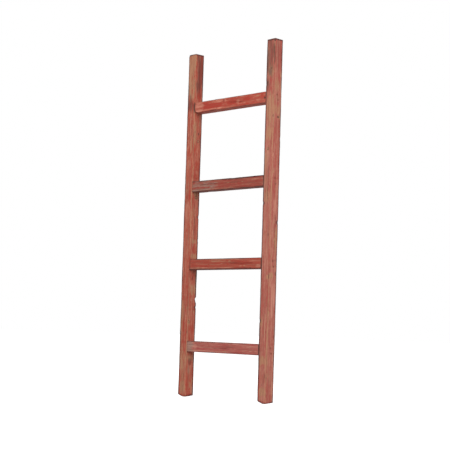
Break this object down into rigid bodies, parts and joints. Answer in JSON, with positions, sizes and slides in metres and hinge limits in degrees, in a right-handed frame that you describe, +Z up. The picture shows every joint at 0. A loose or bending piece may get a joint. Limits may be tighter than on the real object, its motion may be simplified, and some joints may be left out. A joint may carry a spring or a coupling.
{
  "type": "wooden ladder rack for quilts",
  "caption": "Tall free-standing or leaning wooden ladder rack with square rails and square rungs, for hanging quilts, blankets or towels.",
  "frame": {"origin": "on the floor, midway between the rails and midway through their depth", "axes": "+Z up along the rails, +X to the right across the rack seen from the front, front faces towards -Y"},
  "size_m": [0.4318, 0.0382, 1.2192],
  "materials": {
    "rail_paint": "thin faded red-brown paint rubbed through to tan rough-sawn softwood, matt",
    "rung_paint": "thin faded brick-red paint worn to bare wood at the ends and edges, matt",
    "screw_steel": "dark oxidised steel, dull"
  },
  "bodies": {
    "root": {"left_rail": "rail_paint", "right_rail": "rail_paint", "bottom_rung": "rung_paint", "lower_rung": "rung_paint", "upper_rung": "rung_paint", "top_rung": "rung_paint", "screw_left_bottom_rung_upper": "screw_steel", "screw_left_bottom_rung_lower": "screw_steel", "screw_left_lower_rung_upper": "screw_steel", "screw_left_lower_rung_lower": "screw_steel", "screw_left_upper_rung_upper": "screw_steel", "screw_left_upper_rung_lower": "screw_steel", "screw_left_top_rung_upper": "screw_steel", "screw_left_top_rung_lower": "screw_steel", "screw_right_bottom_rung_upper": "screw_steel", "screw_right_bottom_rung_lower": "screw_steel", "screw_right_lower_rung_upper": "screw_steel", "screw_right_lower_rung_lower": "screw_steel", "screw_right_upper_rung_upper": "screw_steel", "screw_right_upper_rung_lower": "screw_steel", "screw_right_top_rung_upper": "screw_steel", "screw_right_top_rung_lower": "screw_steel"}
  },
  "joints": []
}
